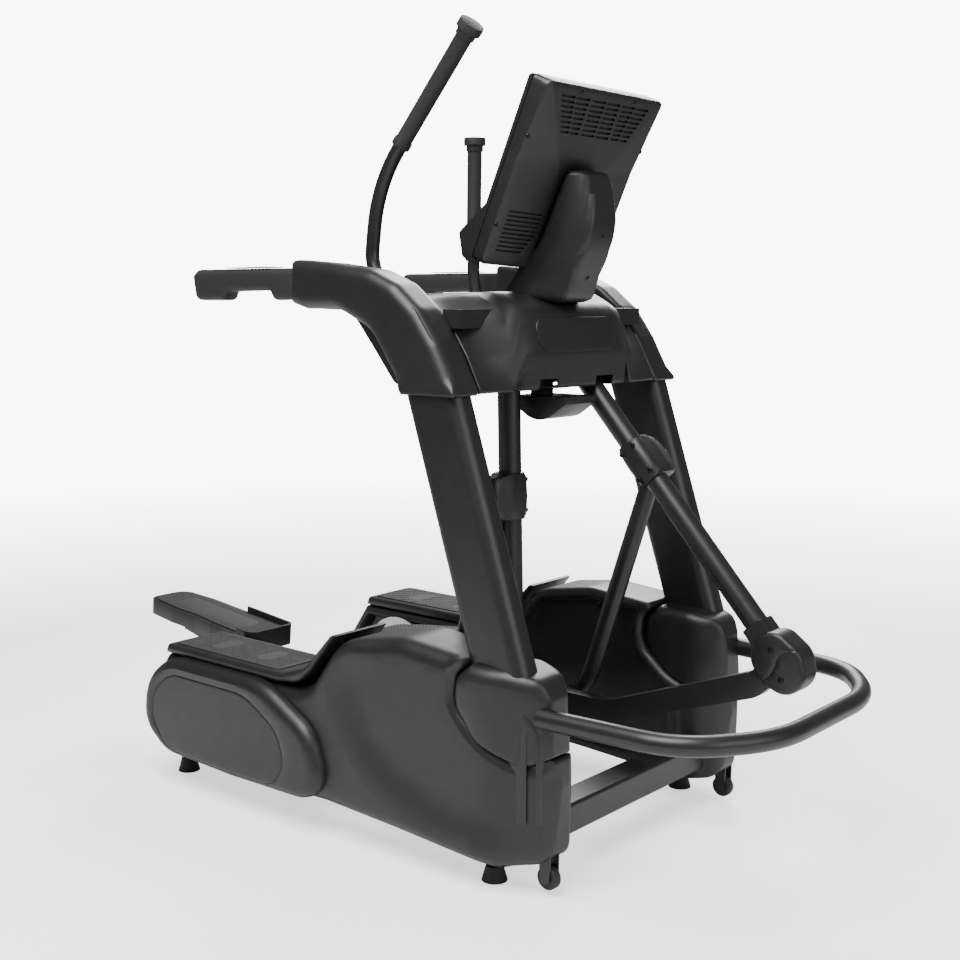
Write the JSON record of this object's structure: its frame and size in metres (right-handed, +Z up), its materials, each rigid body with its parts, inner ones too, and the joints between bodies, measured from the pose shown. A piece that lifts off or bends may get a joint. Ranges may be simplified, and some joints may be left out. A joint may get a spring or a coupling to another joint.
{
  "type": "elliptical trainer",
  "caption": "Elliptical trainer with leaning uprights, hanging rockers with moving handles, foot bars with pedals, side drive housings and a console.",
  "frame": {"origin": "on the floor, under the middle of the machine's outer box with the left rocker forward and the right one back", "axes": "+X to the user's left, +Y to the rear, towards the user, +Z up"},
  "size_m": [0.92, 1.9217, 1.7342],
  "materials": {
    "frame_paint": "black powder coat, satin",
    "shell_plastic": "fine moulded texture, satin",
    "grip_rubber": "matte moulded rubber",
    "mat_rubber": "ribbed matte rubber",
    "foot_rubber": "matte rubber",
    "sensor_steel": "brushed contact plate",
    "shaft_steel": "turned steel",
    "cast_wheel": "turned cast iron",
    "screen_black": "gloss black display",
    "screw_black": "black oxide",
    "key_plastic": "satin"
  },
  "bodies": {
    "root": {"left_base_rail": "frame_paint", "right_base_rail": "frame_paint", "base_crossbars": "frame_paint", "levelling_feet": "foot_rubber", "wheel_brackets": "frame_paint", "left_upright": "frame_paint", "right_upright": "frame_paint", "bridge_beam": "frame_paint", "rocker_axle": "shaft_steel", "front_bumper": "frame_paint", "left_outer_shell": "shell_plastic", "right_outer_shell": "shell_plastic", "left_inner_shell": "shell_plastic", "right_inner_shell": "shell_plastic", "oval_covers": "shell_plastic", "step_caps": "shell_plastic", "step_mats": "mat_rubber", "collar_covers": "shell_plastic", "shoulder_covers": "shell_plastic", "handrails": "grip_rubber", "pulse_sensors": "sensor_steel", "bridge_front_shell": "shell_plastic", "bridge_rear_shell": "shell_plastic", "access_panel": "shell_plastic", "centre_hub_cover": "shell_plastic", "console_mast": "frame_paint", "neck_cover": "shell_plastic", "console_back": "shell_plastic", "console_bezel": "shell_plastic", "screen_glass": "screen_black", "cover_screws": "screw_black", "shaft_bearings": "shaft_steel", "eddy_brake": "shaft_steel", "drive_belts": "foot_rubber"},
    "left_rocker": {"left_rocker_tube": "frame_paint", "left_handle_tube": "frame_paint", "left_grip": "grip_rubber", "left_clamp_cover": "shell_plastic", "left_joint_cover": "shell_plastic"},
    "left_link": {"left_link_tube": "frame_paint"},
    "left_foot": {"left_foot_bar": "frame_paint", "left_pedal": "shell_plastic", "left_pedal_mat": "mat_rubber"},
    "left_crank": {"left_crank": "shaft_steel"},
    "left_wheel": {"left_wheel": "foot_rubber"},
    "right_rocker": {"right_rocker_tube": "frame_paint", "right_handle_tube": "frame_paint", "right_grip": "grip_rubber", "right_clamp_cover": "shell_plastic", "right_joint_cover": "shell_plastic"},
    "right_link": {"right_link_tube": "frame_paint"},
    "right_foot": {"right_foot_bar": "frame_paint", "right_pedal": "shell_plastic", "right_pedal_mat": "mat_rubber"},
    "right_crank": {"right_crank": "shaft_steel"},
    "right_wheel": {"right_wheel": "foot_rubber"},
    "jackshaft": {"jackshaft": "shaft_steel"},
    "flywheel": {"flywheel": "cast_wheel"},
    "start_key": {"start_key": "key_plastic"},
    "stop_key": {"stop_key": "key_plastic"}
  },
  "joints": [
    {"name": "left_rocker_swing", "type": "hinge", "parent": "root", "child": "left_rocker", "pos_m": [0, -0.2408, 1.069], "axis": [1, 0, 0], "range_deg": [0, 40.81]},
    {"name": "right_rocker_swing", "type": "hinge", "parent": "root", "child": "right_rocker", "pos_m": [0, -0.2408, 1.069], "axis": [1, 0, 0], "range_deg": [-40.81, 0]},
    {"name": "left_foot_pivot", "type": "hinge", "parent": "left_rocker", "child": "left_foot", "pos_m": [0, -0.79276, 0.4343], "axis": [1, 0, 0], "range_deg": [-28.1, 0]},
    {"name": "left_link_pivot", "type": "hinge", "parent": "left_rocker", "child": "left_link", "pos_m": [0, -0.44535, 0.81988], "axis": [1, 0, 0], "range_deg": [-45.1, 0]},
    {"name": "right_foot_pivot", "type": "hinge", "parent": "right_rocker", "child": "right_foot", "pos_m": [0, -0.24376, 0.22788], "axis": [1, 0, 0], "range_deg": [0, 28.1]},
    {"name": "right_link_pivot", "type": "hinge", "parent": "right_rocker", "child": "right_link", "pos_m": [0, -0.2328, 0.74676], "axis": [1, 0, 0], "range_deg": [0, 45.1]},
    {"name": "left_crank_spin", "type": "hinge", "parent": "root", "child": "left_crank", "pos_m": [0.3, 0.4497, 0.188], "axis": [1, 0, 0], "continuous": true},
    {"name": "right_crank_spin", "type": "hinge", "parent": "root", "child": "right_crank", "pos_m": [-0.3, 0.4497, 0.188], "axis": [1, 0, 0], "continuous": true},
    {"name": "jackshaft_spin", "type": "hinge", "parent": "root", "child": "jackshaft", "pos_m": [0, 0.5997, 0.13], "axis": [1, 0, 0], "continuous": true},
    {"name": "flywheel_spin", "type": "hinge", "parent": "root", "child": "flywheel", "pos_m": [0.36, -0.1403, 0.27], "axis": [1, 0, 0], "continuous": true},
    {"name": "left_wheel_spin", "type": "hinge", "parent": "root", "child": "left_wheel", "pos_m": [0.335, -0.5263, 0.036], "axis": [1, 0, 0], "continuous": true},
    {"name": "right_wheel_spin", "type": "hinge", "parent": "root", "child": "right_wheel", "pos_m": [-0.335, -0.5263, 0.036], "axis": [1, 0, 0], "continuous": true},
    {"name": "start_key_press", "type": "slide", "parent": "root", "child": "start_key", "axis": [0, -0.6057, -0.7957], "range_m": [0, 0.0015], "stiffness_N_per_m": 300, "springref_m": -0.002},
    {"name": "stop_key_press", "type": "slide", "parent": "root", "child": "stop_key", "axis": [0, -0.6057, -0.7957], "range_m": [0, 0.0015], "stiffness_N_per_m": 300, "springref_m": -0.002}
  ],
  "couplings": [
    {"joint": "right_rocker_swing", "follows": "left_rocker_swing", "ratio": -1},
    {"joint": "left_foot_pivot", "follows": "left_rocker_swing", "ratio": -0.6864},
    {"joint": "right_foot_pivot", "follows": "left_rocker_swing", "ratio": 0.6864},
    {"joint": "left_link_pivot", "follows": "left_rocker_swing", "ratio": -1.1014},
    {"joint": "right_link_pivot", "follows": "left_rocker_swing", "ratio": 1.1014},
    {"joint": "right_crank_spin", "follows": "left_crank_spin", "ratio": 1},
    {"joint": "jackshaft_spin", "follows": "left_crank_spin", "ratio": 3.5714},
    {"joint": "flywheel_spin", "follows": "left_crank_spin", "ratio": 5.5195}
  ]
}
